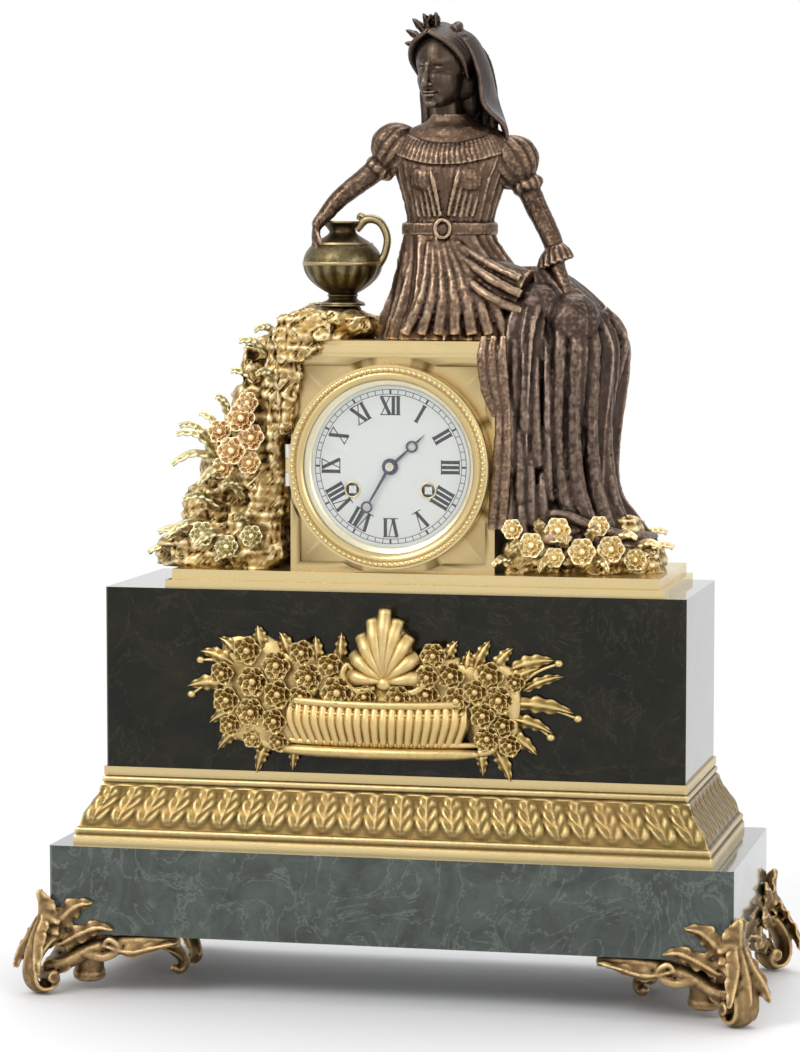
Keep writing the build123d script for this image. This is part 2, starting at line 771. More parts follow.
def bezel():
    """Hinged ring with a rebate over the frame's rim, a seat for the glass and one knuckle."""
    body = ring(
        case_middle_x, dial_z, bezel_radius, bezel_sight_radius, flange_front - bezel_thickness,
        flange_front,
    )
    body -= disc(
        case_middle_x, dial_z, frame_rim_radius + free_gap, flange_front - frame_rim_height - free_gap,
        flange_front + overrun,
    )
    glass_back = case_front - glass_back_offset
    body -= disc(case_middle_x, dial_z, glass_radius + fit_gap, glass_back - glass_thickness, glass_back)
    x, y = hinge_place()
    arm = block(
        x, case_middle_x - bezel_radius + knuckle_radius / 2, y - knuckle_radius, y,
        dial_z - knuckle_length / 2,
        dial_z + knuckle_length / 2,
    )
    arm -= disc(case_middle_x, dial_z, frame_rim_radius + free_gap, y - overrun, y + overrun)
    body += arm
    body += post(x, y, knuckle_radius, dial_z - knuckle_length / 2, dial_z + knuckle_length / 2)
    body -= post(x, y, hinge_pin_radius + fit_gap, dial_z - knuckle_length, dial_z + knuckle_length)
    return body


def bezel_glass():
    """Flat glass held in the bezel."""
    back = case_front - glass_back_offset
    return disc(case_middle_x, dial_z, glass_radius, back - glass_thickness, back)


def hinge_pins():
    """Pins of the bezel and the back door, each with the fixed knuckles that hold it."""
    x, y = hinge_place()
    solids = [hinge_pin(x, y, case_front)]
    back_x, back_y = door_hinge_place()
    solids.append(hinge_pin(back_x, back_y, case_back + ring_flange_thickness))
    return Compound(children=solids)


def hinge_pin(x, y, face_y):
    """One pin with a knuckle above and below, which stand on the face behind them."""
    reach = knuckle_length * 1.5 + free_gap
    body = post(x, y, hinge_pin_radius, dial_z - reach, dial_z + reach)
    for side in (-1, 1):
        low = dial_z + side * (knuckle_length / 2 + free_gap)
        high = dial_z + side * reach
        body += post(x, y, knuckle_radius, min(low, high), max(low, high))
        body += block(
            x - knuckle_radius, x + knuckle_radius * 1.2, min(y, face_y), max(y, face_y), min(low, high),
            max(low, high),
        )
    return body


def hand(length, hub_radius, hole_radius, offset, angle_deg):
    """Hand with a hub, a tapering blade and an open eye near its tip."""
    back = case_front - offset
    front = back - hand_thickness
    eye_middle = length * eye_place_share
    body = disc(0, 0, hub_radius, front, back)
    blade = [
        (-hand_width / 2, 0), (-hand_width / 4, eye_middle), (hand_width / 4, eye_middle),
        (hand_width / 2, 0),
    ]
    body += prism(blade, front, back)
    tip = [(-hand_width / 2, eye_middle), (0, length), (hand_width / 2, eye_middle)]
    body += prism(tip, front, back)
    body += disc(0, eye_middle, hand_eye_radius, front, back)
    body -= disc(0, eye_middle, hand_eye_radius - hand_eye_wall, front - overrun, back + overrun)
    body -= disc(0, 0, hole_radius, front - overrun, back + overrun)
    return Pos(case_middle_x, 0, dial_z) * Rot(0, angle_deg, 0) * body


# Wheels

def tooth_points(teeth, pitch_radius, first_deg):
    """Outline of a wheel whose teeth are narrow flat-sided wedges."""
    module = 2 * pitch_radius / teeth
    tip = pitch_radius + module * addendum_share
    root = pitch_radius - module * dedendum_share
    step = 360 / teeth
    corners = ((root, -tooth_root_share), (tip, -tooth_tip_share), (tip, tooth_tip_share), (root, tooth_root_share))
    points = []
    for index in range(teeth):
        for radius, share in corners:
            turn = radians(first_deg + step * (index + share / 2))
            points.append((radius * cos(turn), radius * sin(turn)))
    return points


def wheel(x, z, teeth, pitch_radius, first_deg, y0, y1, bore=0):
    """Toothed wheel or pinion at a place on the plates, with spokes where it is large."""
    points = [(x + px, z + pz) for px, pz in tooth_points(teeth, pitch_radius, first_deg)]
    body = prism(points, y0, y1)
    module = 2 * pitch_radius / teeth
    rim = pitch_radius - module * dedendum_share - wheel_rim_width
    if rim > wheel_hub_radius * 2:
        windows = ring(x, z, rim, wheel_hub_radius, y0 - overrun, y1 + overrun)
        for index in range(spoke_count):
            turn = radians(360 / spoke_count * (index + 0.5))
            spoke = bar(
                x, z, x + pitch_radius * cos(turn), z + pitch_radius * sin(turn), wheel_spoke_width,
                y0 - overrun, y1 + overrun,
            )
            windows -= spoke
        body -= windows
    if bore:
        body -= disc(x, z, bore, y0 - overrun, y1 + overrun)
    return body


def mesh(driver, driver_teeth, driven, driven_teeth):
    """Pitch radii and first tooth angles of two wheels in mesh at rest."""
    away = hypot(driven[0] - driver[0], driven[1] - driver[1])
    module = 2 * away / (driver_teeth + driven_teeth)
    line = degrees(atan2(driven[1] - driver[1], driven[0] - driver[0]))
    gap = line + 180 + 180 / driven_teeth
    return module * driver_teeth / 2, line, module * driven_teeth / 2, gap


def at(x, z):
    """Place on the plates, from the dial's centre."""
    return case_middle_x + x, dial_z + z


centre = at(0, 0)
going = at(barrel_place_x, barrel_place_z)
strike = at(-barrel_place_x, barrel_place_z)
third = at(third_place_x, third_place_z)
escape = at(0, escape_place_z)
pallet = at(0, pallet_place_z)
second = at(-barrel_place_x, second_place_z)
pin = at(pin_place_x, pin_place_z)
fly_place = at(fly_place_x, fly_place_z)
hammer_place = at(hammer_place_x, hammer_place_z)
motion = at(0, motion_place_z)

# Planes of the wheels between the plates
third_front = front_plate_back + third_wheel_from_front
drum_front = front_plate_back + barrel_wheel_thickness * 2
drum_back = drum_front + barrel_length
pin_front = front_plate_back + pin_wheel_from_front
escape_front = front_plate_back + escape_wheel_from_front
centre_back = back_plate_front - centre_wheel_from_back
second_back = back_plate_front - second_wheel_from_back


def arbor(place, front_pivot, rear_pivot, radius=arbor_radius):
    """Plain arbor between the plates with a pivot in each."""
    x, z = place
    body = disc(x, z, radius, front_plate_back + free_gap, back_plate_front - free_gap)
    return body + disc(x, z, pivot_radius, front_pivot, rear_pivot)


def plain_arbor(place, radius=arbor_radius):
    """Arbor whose pivots end flush with the plates' outer faces."""
    return arbor(place, front_plate_front, back_plate_back, radius)


def pinion_on(body, place, teeth, pitch_radius, first_deg, wheel_y0, wheel_y1):
    """Adds a pinion that is longer than the wheel that it meets."""
    middle = (wheel_y0 + wheel_y1) / 2
    return body + wheel(
        place[0], place[1], teeth, pitch_radius, first_deg, middle - pinion_length / 2,
        middle + pinion_length / 2,
    )


def centre_arbor():
    """Centre arbor with its pinion and wheel, and the long nose under the cannon pinion."""
    pinion_radius, pinion_deg = going_mesh()
    nose = case_front - minute_hand_offset - hand_thickness
    body = arbor(centre, nose, back_plate_back)
    body += disc(*centre, cannon_bore_radius - fit_gap, nose, front_plate_back + free_gap)
    body = pinion_on(
        body, centre, centre_pinion_teeth, pinion_radius, pinion_deg, drum_back,
        drum_back + barrel_wheel_thickness,
    )
    radius, first, other_radius, other_first = mesh(centre, centre_teeth, third, third_pinion_teeth)
    body += wheel(*centre, centre_teeth, radius, first, centre_back - wheel_thickness, centre_back)
    return body


def going_mesh():
    """Great wheel of the going barrel and the centre pinion."""
    _, _, pinion_radius, pinion_deg = mesh(going, barrel_teeth, centre, centre_pinion_teeth)
    return pinion_radius, pinion_deg


def barrel(place, wheel_y0, toward, toward_teeth):
    """Drum of the mainspring with its great wheel on one end."""
    radius, first, other_radius, other_first = mesh(place, barrel_teeth, toward, toward_teeth)
    bore = barrel_arbor_radius + fit_gap
    body = disc(*place, barrel_radius, drum_front, drum_back)
    body -= disc(*place, bore, drum_front - overrun, drum_back + overrun)
    points = [(place[0] + px, place[1] + pz) for px, pz in tooth_points(barrel_teeth, radius, first)]
    great = prism(points, wheel_y0, wheel_y0 + barrel_wheel_thickness)
    return body + great - disc(
        *place, bore, wheel_y0 - overrun, wheel_y0 + barrel_wheel_thickness + overrun,
    )


def winding_arbor(place):
    """Arbor of a barrel with its winding square in front and its ratchet on the front plate."""
    x, z = place
    body = disc(x, z, barrel_arbor_radius, front_plate_back + free_gap, back_plate_front - free_gap)
    body += disc(
        x, z, winding_pivot_radius, front_plate_front - ratchet_thickness - free_gap,
        front_plate_back + free_gap,
    )
    body += disc(x, z, rear_pivot_radius, back_plate_front - free_gap, back_plate_back)
    half = winding_square / 2
    body += block(
        x - half, x + half, dial_front, front_plate_front - ratchet_thickness - free_gap, z - half,
        z + half,
    )
    step = 360 / ratchet_teeth
    points = []
    for index in range(ratchet_teeth):
        for radius, share in ((ratchet_radius, 0), (ratchet_radius - ratchet_depth, ratchet_face_share)):
            turn = radians(step * (index + share))
            points.append((x + radius * cos(turn), z + radius * sin(turn)))
    return body + prism(
        points, front_plate_front - ratchet_thickness - free_gap, front_plate_front - free_gap,
    )


def clicks():
    """Two clicks on the front plate, each beside its ratchet wheel."""
    solids = []
    for side in (-1, 1):
        x, z = at(side * barrel_place_x, barrel_place_z)
        tip_z = z - ratchet_radius - free_gap - click_width / 2
        body = bar(x - side * click_length / 2, tip_z, x + side * click_length / 2, tip_z, click_width,
                   front_plate_front - ratchet_thickness, front_plate_front)
        solids.append(body)
    return Compound(children=solids)


def third_wheel():
    """Third wheel near the front plate, driven by the centre wheel near the back plate."""
    radius, first, pinion_radius, pinion_deg = mesh(centre, centre_teeth, third, third_pinion_teeth)
    body = pinion_on(plain_arbor(third, pivot_radius), third, third_pinion_teeth, pinion_radius, pinion_deg,
                     centre_back - wheel_thickness, centre_back)
    radius, first, other_radius, other_first = mesh(third, third_teeth, escape, escape_pinion_teeth)
    return body + wheel(*third, third_teeth, radius, first, third_front, third_front + wheel_thickness)


def escape_wheel():
    """Escape wheel with raked teeth and its pinion."""
    radius, first, pinion_radius, pinion_deg = mesh(third, third_teeth, escape, escape_pinion_teeth)
    x, z = escape
    body = disc(x, z, pivot_radius, front_plate_front, back_plate_back)
    middle = third_front + wheel_thickness / 2
    body += wheel(
        x, z, escape_pinion_teeth, pinion_radius, pinion_deg, middle - pinion_length / 3,
        middle + pinion_length,
    )
    points = []
    for index in range(escape_teeth):
        for reach, share in ((escape_radius, 0), (escape_radius - escape_tooth_depth, escape_face_share)):
            turn = radians(360 / escape_teeth * (index + share))
            points.append((x + reach * cos(turn), z + reach * sin(turn)))
    return body + prism(points, escape_front, escape_front + wheel_thickness)


def anchor():
    """Pallet arbor with the anchor over the escape wheel and the crutch behind the back plate."""
    x, z = pallet
    y0 = escape_front - (anchor_thickness - wheel_thickness) / 2
    y1 = y0 + anchor_thickness
    body = disc(x, z, pivot_radius, front_plate_front, back_plate_back + cock_standoff + cock_thickness / 2)
    body += disc(x, z, anchor_arm_width, y0, y1)
    for side in (-1, 1):
        elbow = (x + side * anchor_reach, z - anchor_drop / 2)
        tip = (x + side * (anchor_reach + anchor_arm_width / 2), z - anchor_drop)
        body += bar(x, z, *elbow, anchor_arm_width, y0, y1)
        body += bar(elbow[0], elbow[1] + anchor_arm_width / 2, *tip, anchor_arm_width, y0, y1)
    crutch_y = back_plate_back + crutch_thickness
    body += disc(x, z, crutch_width, crutch_y, crutch_y + crutch_thickness)
    body += block(
        x - crutch_width / 2, x + crutch_width / 2, crutch_y, crutch_y + crutch_thickness,
        z - crutch_length, z,
    )
    prong_x = pendulum_rod_radius + crutch_prong_gap + crutch_prong_radius
    foot_z = z - crutch_length
    body += block(
        x - prong_x - crutch_prong_radius, x + prong_x + crutch_prong_radius, crutch_y,
        crutch_y + crutch_thickness,
        foot_z, foot_z + crutch_width,
    )
    for side in (-1, 1):
        body += disc(x + side * prong_x, foot_z + crutch_width / 2, crutch_prong_radius, crutch_y + crutch_thickness,
                     pendulum_y + pendulum_rod_radius * 2)
    return body


def strike_second_wheel():
    """Second wheel of the strike train, whose arbor carries the count wheel."""
    radius, first, pinion_radius, pinion_deg = mesh(strike, barrel_teeth, second, second_pinion_teeth)
    tail = back_plate_back + count_wheel_gap + wheel_thickness
    body = disc(*second, arbor_radius, front_plate_back + free_gap, back_plate_front - free_gap)
    body += disc(*second, pivot_radius, front_plate_front, tail)
    wheel_y0 = front_plate_back + barrel_wheel_thickness
    body = pinion_on(
        body, second, second_pinion_teeth, pinion_radius, pinion_deg, wheel_y0,
        wheel_y0 + barrel_wheel_thickness,
    )
    radius, first, other_radius, other_first = mesh(second, second_teeth, pin, pin_pinion_teeth)
    return body + wheel(*second, second_teeth, radius, first, second_back - wheel_thickness, second_back)


def count_wheel():
    """Count wheel with a notch before each hour, at the spacing of the blows."""
    x, z = second
    y0 = back_plate_back + count_wheel_gap
    y1 = y0 + wheel_thickness
    body = disc(x, z, count_wheel_radius, y0, y1)
    blows = sum(range(1, hours_on_dial + 1)) + hours_on_dial
    struck = 0
    for hour in range(1, hours_on_dial + 1):
        struck += hour + 1
        notch = block(
            count_wheel_radius - count_notch_depth, count_wheel_radius + overrun, y0 - overrun,
            y1 + overrun,
            -count_notch_width / 2, count_notch_width / 2,
        )
        body -= Pos(x, 0, z) * Rot(0, 360 * struck / blows, 0) * notch
    return body - disc(x, z, pivot_radius + fit_gap, y0 - overrun, y1 + overrun)


def pin_wheel():
    """Wheel whose pins lift the hammer's tail."""
    radius, first, pinion_radius, pinion_deg = mesh(second, second_teeth, pin, pin_pinion_teeth)
    x, z = pin
    body = pinion_on(plain_arbor(pin, pivot_radius), pin, pin_pinion_teeth, pinion_radius, pinion_deg,
                     second_back - wheel_thickness, second_back)
    radius, first, other_radius, other_first = mesh(pin, pin_teeth, fly_place, fly_pinion_teeth)
    body += wheel(x, z, pin_teeth, radius, first, pin_front, pin_front + wheel_thickness)
    for index in range(strike_pin_count):
        turn = radians(360 / strike_pin_count * index)
        body += disc(x + strike_pin_circle * cos(turn), z + strike_pin_circle * sin(turn), strike_pin_radius,
                     pin_front - strike_pin_length, pin_front)
    return body


def fly():
    """Fan that slows the strike, on its own pinion."""
    radius, first, pinion_radius, pinion_deg = mesh(pin, pin_teeth, fly_place, fly_pinion_teeth)
    x, z = fly_place
    body = pinion_on(plain_arbor(fly_place, pivot_radius), fly_place, fly_pinion_teeth, pinion_radius, pinion_deg,
                     pin_front, pin_front + wheel_thickness)
    y0 = pin_front + wheel_thickness + pinion_length
    body += block(x - fly_blade_reach, x + fly_blade_reach, y0, y0 + fly_blade_length,
                  z - fly_blade_thickness / 2, z + fly_blade_thickness / 2)
    return body


# Motion work

def cannon_pinion():
    """Pipe that turns on the centre arbor and carries the minute hand."""
    radius, first, other_radius, other_first = mesh(centre, cannon_teeth, motion, motion_teeth)
    y1 = front_plate_front - free_gap
    nose = case_front - minute_hand_offset - hand_thickness
    body = disc(*centre, cannon_outer_radius, nose, y1 - cannon_pinion_length)
    body += wheel(*centre, cannon_teeth, radius, first, y1 - cannon_pinion_length, y1)
    return body - disc(*centre, cannon_bore_radius, nose - overrun, y1 + overrun)


def motion_wheel():
    """Wheel and pinion between the cannon pinion and the hour wheel, on a stud of the front plate."""
    radius, first, other_radius, other_first = mesh(centre, cannon_teeth, motion, motion_teeth)
    y1 = front_plate_front - free_gap * 2
    y0 = y1 - motion_wheel_thickness
    body = wheel(*motion, motion_teeth, other_radius, other_first, y0, y1)
    radius, first, other_radius, other_first = mesh(motion, motion_pinion_teeth, centre, hour_teeth)
    body += wheel(*motion, motion_pinion_teeth, radius, first, y0 - motion_pinion_length, y0)
    return body - disc(*motion, pivot_radius + fit_gap, y0 - overrun, y1 + overrun)


def hour_wheel():
    """Hour wheel and its pipe, running on the cannon pinion's pipe."""
    radius, first, other_radius, other_first = mesh(motion, motion_pinion_teeth, centre, hour_teeth)
    y1 = front_plate_front - free_gap * 2 - motion_wheel_thickness - free_gap
    y0 = y1 - motion_wheel_thickness
    bore = cannon_outer_radius + fit_gap
    body = disc(*centre, bore + hour_pipe_wall, case_front - hour_hand_offset - hand_thickness, y0)
    body += wheel(*centre, hour_teeth, other_radius, other_first, y0, y1)
    return body - disc(*centre, bore, dial_front - overrun * 2, y1 + overrun)


# Plates and frame of the movement

def front_plate():
    """Front plate with its pivot holes and the motion wheel's stud."""
    body = disc(*at(0, 0), plate_radius, front_plate_front, front_plate_back)
    for place in (second, pin, fly_place, third, escape, pallet, hammer_place):
        body -= disc(
            *place, pivot_radius + fit_gap, front_plate_front - overrun, front_plate_back + overrun,
        )
    for place in (going, strike):
        body -= disc(
            *place, winding_pivot_radius + fit_gap, front_plate_front - overrun, front_plate_back + overrun,
        )
    body -= disc(*centre, cannon_bore_radius, front_plate_front - overrun, front_plate_back + overrun)
    for place in pillar_places():
        body -= disc(
            *place, pillar_tenon_radius + fit_gap, front_plate_front - overrun, front_plate_back + overrun,
        )
    stud_front = front_plate_front - free_gap * 3 - motion_wheel_thickness - motion_pinion_length
    return body + disc(*motion, pivot_radius, stud_front, front_plate_front)


def back_plate():
    """Back plate with its pivot holes and a clear hole for the pallet arbor."""
    body = disc(*at(0, 0), plate_radius, back_plate_front, back_plate_back)
    for place in (centre, second, pin, fly_place, third, escape, hammer_place):
        body -= disc(*place, pivot_radius + fit_gap, back_plate_front - overrun, back_plate_back + overrun)
    for place in (going, strike):
        body -= disc(
            *place, rear_pivot_radius + fit_gap, back_plate_front - overrun, back_plate_back + overrun,
        )
    body -= disc(*pallet, pivot_radius + free_gap, back_plate_front - overrun, back_plate_back + overrun)
    return body


def pillar_places():
    """Four pillars near the plates' edge."""
    places = []
    for angle_deg in pillar_degs:
        turn = radians(angle_deg)
        places.append(at(pillar_pitch_radius * cos(turn), pillar_pitch_radius * sin(turn)))
    return places


def pillars():
    """Pillars riveted to the back plate, with tenons through the front plate."""
    solids = []
    for place in pillar_places():
        body = disc(*place, pillar_radius, front_plate_back, back_plate_front)
        body += disc(*place, pillar_tenon_radius, front_plate_back - pillar_tenon_length, front_plate_back)
        solids.append(body)
    return Compound(children=solids)


def movement_straps():
    """Two straps from the dial frame to the back ring, each with a lug for its screw."""
    solids = []
    inner = frame_sleeve_radius + free_gap
    for side in (-1, 1):
        x0, x1 = sorted((case_middle_x + side * inner, case_middle_x + side * (inner + strap_thickness)))
        body = block(x0, x1, case_front, case_back, dial_z - strap_width / 2, dial_z + strap_width / 2)
        lug0, lug1 = sorted(
            (case_middle_x + side * (inner - strap_lug_length), case_middle_x + side * inner),
        )
        body += block(
            lug0, lug1, case_back - strap_lug_depth, case_back, dial_z - strap_width / 2,
            dial_z + strap_width / 2,
        )
        x, z = strap_screw_place(side)
        body -= disc(
            x, z, strap_screw_radius + fit_gap, case_back - strap_lug_depth - overrun, case_back + overrun,
        )
        solids.append(body)
    return Compound(children=solids)


def strap_screw_place(side):
    """Place of a strap's screw in the lug."""
    return case_middle_x + side * (frame_sleeve_radius + free_gap - strap_lug_length / 2), dial_z


def rear_ring():
    """Ring on the back of the case, which the straps pull against and the door closes."""
    back = case_back + ring_flange_thickness
    body = ring(case_middle_x, dial_z, ring_flange_radius, ring_opening_radius, case_back, back)
    for side in (-1, 1):
        x, z = strap_screw_place(side)
        body -= disc(x, z, strap_screw_radius + fit_gap, case_back - overrun, back + overrun)
        body -= disc(x, z, strap_screw_head_radius + fit_gap, case_back + free_gap * 2, back + overrun)
    return body


def door_radius():
    """Radius of the back door, inside the ring."""
    return ring_opening_radius - free_gap


def back_door():
    """Thin round door in the back ring, with a knuckle and a knob."""
    back = case_back + ring_flange_thickness
    body = disc(case_middle_x, dial_z, door_radius(), back - door_thickness, back)
    x, y = door_hinge_place()
    low = dial_z - knuckle_length / 2
    high = dial_z + knuckle_length / 2
    arm = block(
        x, case_middle_x - door_radius() + knuckle_radius * 2, back, back + door_thickness, low, high,
    )
    arm += block(x, x + knuckle_radius, back + free_gap, y, low, high)
    body += arm
    body += post(x, y, knuckle_radius, low, high)
    body += disc(
        case_middle_x + door_radius() * knob_place_share, dial_z, door_knob_radius, back,
        back + door_knob_height,
    )
    return body - post(x, y, hinge_pin_radius + fit_gap, low - overrun, high + overrun)


def door_hinge_place():
    """Place of the back door's pin, outside the strap screw on the left."""
    return case_middle_x - ring_flange_radius + knuckle_radius, case_back + ring_flange_thickness + knuckle_radius + free_gap


def movement_screws():
    """Screws through the back ring into the straps."""
    solids = []
    for side in (-1, 1):
        x, z = strap_screw_place(side)
        head = case_back + free_gap * 2
        body = disc(x, z, strap_screw_head_radius, head, head + strap_screw_head_height)
        solids.append(body + disc(x, z, strap_screw_radius, head - strap_screw_length, head))
    return Compound(children=solids)


def pallet_cock():
    """Bridge over the pallet arbor, with the arm that the pendulum hangs from."""
    x, z = pallet
    y0 = back_plate_back + cock_standoff
    y1 = y0 + cock_thickness
    low = z - cock_height / 3
    body = block(x - cock_width / 2, x + cock_width / 2, y0, y1, low, low + cock_height)
    for side in (-1, 1):
        a, b = sorted((x + side * cock_width / 2, x + side * (cock_width / 2 - cock_standoff)))
        body += block(a, b, back_plate_back, y0, low, low + cock_height)
    body += block(
        x - cock_arm_width / 2, x + cock_arm_width / 2, y1, y1 + cock_arm_reach, z + free_gap,
        low + cock_height,
    )
    return body - disc(x, z, pivot_radius + fit_gap, y0 - overrun, y0 + cock_thickness / 2)


def pendulum_rod():
    """Suspension strip, its block and the rod, hanging from the cock's arm."""
    x, z = pallet
    body = block(
        x - suspension_width / 2, x + suspension_width / 2, pendulum_y - suspension_thickness / 2,
        pendulum_y + suspension_thickness / 2, z - suspension_length, z,
    )
    top = z - suspension_length
    half = pendulum_block_width / 2
    body += block(
        x - half, x + half, pendulum_y - pendulum_rod_radius, pendulum_y + pendulum_rod_radius,
        top - pendulum_block_height, top,
    )
    bottom = z - pendulum_length - bob_radius - rating_nut_height - rod_tail
    return body + post(x, pendulum_y, pendulum_rod_radius, bottom, top - pendulum_block_height)


def pendulum_bob():
    """Lens-shaped bob on the rod."""
    x, z = pallet
    middle = z - pendulum_length
    y0 = pendulum_y - bob_thickness / 2
    edge = bob_thickness * bob_edge_share / 2
    faces = []
    for offset, radius in ((-bob_thickness / 2, bob_radius * bob_flat_share), (-edge, bob_radius), (edge, bob_radius),
                           (bob_thickness / 2, bob_radius * bob_flat_share)):
        faces.append(
            Plane((x, pendulum_y + offset, middle), x_dir=(1, 0, 0), z_dir=(0, 1, 0)) * Circle(radius),
        )
    body = loft(faces, ruled=True)
    return body - post(
        x, pendulum_y, pendulum_rod_radius + fit_gap, middle - bob_radius * 2, middle + bob_radius * 2,
    )


def rating_nut():
    """Nut under the bob."""
    x, z = pallet
    high = z - pendulum_length - bob_radius
    body = post(x, pendulum_y, rating_nut_radius, high - rating_nut_height, high)
    return body - post(x, pendulum_y, pendulum_rod_radius + fit_gap, high - overrun, high + overrun)


# Bell and hammer

def bell_stand():
    """Post on the back plate with an arm to the bell's middle and the stud through its crown."""
    x, z = at(stand_place_x, stand_place_z)
    y0 = back_plate_back + stand_arm_offset
    y1 = y0 + stand_arm_thickness
    body = disc(x, z, stand_radius, back_plate_back, y1)
    body += bar(x, z, *centre, stand_arm_width, y0, y1)
    body += disc(*centre, stand_arm_width / 2, y0, y1)
    stud_end = bell_back() + bell_nut_height
    return body + disc(*centre, stand_stud_radius, y1, stud_end)


def bell_back():
    """Plane of the bell's crown."""
    return back_plate_back + bell_mouth_offset + bell_height


def bell():
    """Hollow bell with a bulging wall, open to the front."""
    mouth = bell_back() - bell_height
    shells = []
    for shrink in (0, bell_wall):
        faces = []
        for depth, radius in ((0, 1.0), (bell_shoulder_share, bell_bulge_share), (1.0, bell_crown_radius / bell_radius)):
            y = mouth + (bell_height - shrink) * depth
            faces.append(
                Plane((centre[0], y, centre[1]), x_dir=(1, 0, 0), z_dir=(0, 1, 0)) * Circle(bell_radius * radius - shrink),
            )
        shells.append(loft(faces, ruled=True))
    body = shells[0] - shells[1]
    return body - disc(*centre, stand_stud_radius + fit_gap, mouth, bell_back() + overrun)


def bell_nut():
    """Nut on the stud behind the bell."""
    y0 = bell_back()
    body = disc(*centre, bell_nut_radius, y0, y0 + bell_nut_height)
    return body - disc(*centre, stand_stud_radius + fit_gap, y0 - overrun, y0 + bell_nut_height + overrun)


def hammer():
    """Hammer arbor with its tail by the pins and its head beside the bell's rim."""
    x, z = hammer_place
    stalk_y = back_plate_back + count_wheel_gap + wheel_thickness + free_gap
    body = disc(x, z, pivot_radius, front_plate_front, stalk_y + wheel_thickness)
    body += bar(
        x, z, *at(hammer_tail_x, hammer_tail_z), hammer_stalk_width, front_plate_back + free_gap,
        pin_front - strike_pin_length / 2,
    )
    turn = radians(hammer_head_deg)
    reach = bell_radius + hammer_gap + hammer_head_radius
    head_x, head_z = at(reach * cos(turn), reach * sin(turn))
    body += bar(x, z, head_x, head_z, hammer_stalk_width, stalk_y, stalk_y + wheel_thickness)
    head_y0 = stalk_y
    head_y1 = back_plate_back + bell_mouth_offset + hammer_head_length / 2
    body += disc(head_x, head_z, hammer_head_radius * hammer_neck_share, head_y0, head_y1)
    return body + disc(head_x, head_z, hammer_head_radius, head_y1 - hammer_head_length, head_y1)


# Rockwork, ewer and figure

def rockwork_left():
    """Gilt rocks beside the case, which rise over the slab's left end to carry the ewer."""
    edge = case_middle_x - case_width / 2 - case_top_overhang - free_gap
    body = rock_left_core(rock_left_shares, rock_core_inset, terrace_top)
    for out, y, up, wide, deep, tall, turn_deg in boulder_left_shares:
        body += boulder(
            edge - rock_left_reach * out, rock_depth / 2 * y, terrace_top + rock_left_height * up,
            rock_left_reach * wide, rock_depth / 2 * deep, rock_left_height * tall, turn_deg,
        )
    body -= rock_left_core(rock_left_shares[:-1], rock_core_inset + rock_wall, terrace_top - overrun)
    low, high = terrace_top - rock_left_height, terrace_top + rock_left_height * 2
    body -= block(edge, edge + rock_left_reach, -rock_depth, rock_depth, low, high)
    body -= block(
        edge - rock_step_width * 2, edge + overrun, -rock_depth, case_front + rock_door_setback, low, high,
    )
    body -= block(edge - rock_left_reach * 2, edge + overrun, -rock_depth, rock_depth, low, terrace_top)
    cap_middle = -(rock_cap_left + rock_cap_right) / 2
    cap = loft([
        Pos(cap_middle, 0, slab_top) * Rectangle(rock_cap_left - rock_cap_right, rock_depth * cap_depth_share),
        Pos(ewer_x, 0, slab_top + rock_cap_height) * Rectangle(ewer_radius * 2, ewer_radius * 2),
    ], ruled=True)
    return body + cap


def boulder(x, y, z, half_wide, half_deep, half_tall, turn_deg):
    """Rough stone with flat sides, wide at its middle."""
    faces = []
    for level_share, girth_share in boulder_level_shares:
        outline = []
        for index, corner_share in enumerate(boulder_corner_shares):
            angle = radians(360 * (index + 0.5) / boulder_corners)
            reach = girth_share * corner_share / cos(radians(180 / boulder_corners))
            outline.append((half_wide * reach * cos(angle), half_deep * reach * sin(angle)))
        face = make_face(Polyline(*outline, close=True))
        faces.append(Pos(x, y, z + half_tall * level_share) * Rot(0, 0, turn_deg) * face)
    return loft(faces, ruled=True)


def rock_left_core(shares, inset, low):
    """The rocks' core, or further in the hollow inside it."""
    edge = case_middle_x - case_width / 2 - case_top_overhang - free_gap - inset
    back = rock_depth / 2 - inset
    front = case_front + rock_door_setback + inset
    faces = []
    for height_share, reach_share in shares:
        left = edge + inset * 2 - rock_left_reach * reach_share
        outline = [(edge, front), (left, -back * reach_share), (left, back * reach_share), (edge, back)]
        z = terrace_top + (rock_left_height - inset) * height_share if height_share else low
        faces.append(Pos(0, 0, z) * make_face(Polyline(*outline, close=True)))
    return loft(faces, ruled=True)


def rockwork_right():
    """Low gilt rocks right of the case, under the cloak."""
    edge = case_middle_x + case_width / 2 + free_gap
    reach = rock_right_reach - edge
    body = None
    for out, y, up, wide, deep, tall, turn_deg in boulder_right_shares:
        stone = boulder(
            edge + reach * out, rock_depth / 2 * y, terrace_top + rock_right_height * up,
            reach * wide, rock_depth / 2 * deep, rock_right_height * tall, turn_deg,
        )
        body = body + stone if body else stone
    low, high = terrace_top - rock_right_height, terrace_top + rock_right_height * 2
    body -= block(edge - reach, edge, -rock_depth, rock_depth, low, high)
    return body - block(edge, edge + reach * 2, -rock_depth, rock_depth, low, terrace_top)


def ewer():
    """Round ewer on the rocks with a narrow neck."""
    low = slab_top + rock_cap_height
    body = oval_loft([
        ((ewer_x, 0, low + ewer_height * share), ewer_radius * wide, ewer_radius * wide, (0, 0, 1))
        for share, wide in ewer_shares
    ])
    top = low + ewer_height
    return body - post(ewer_x, 0, ewer_bore, top - ewer_bore_depth, top + overrun)


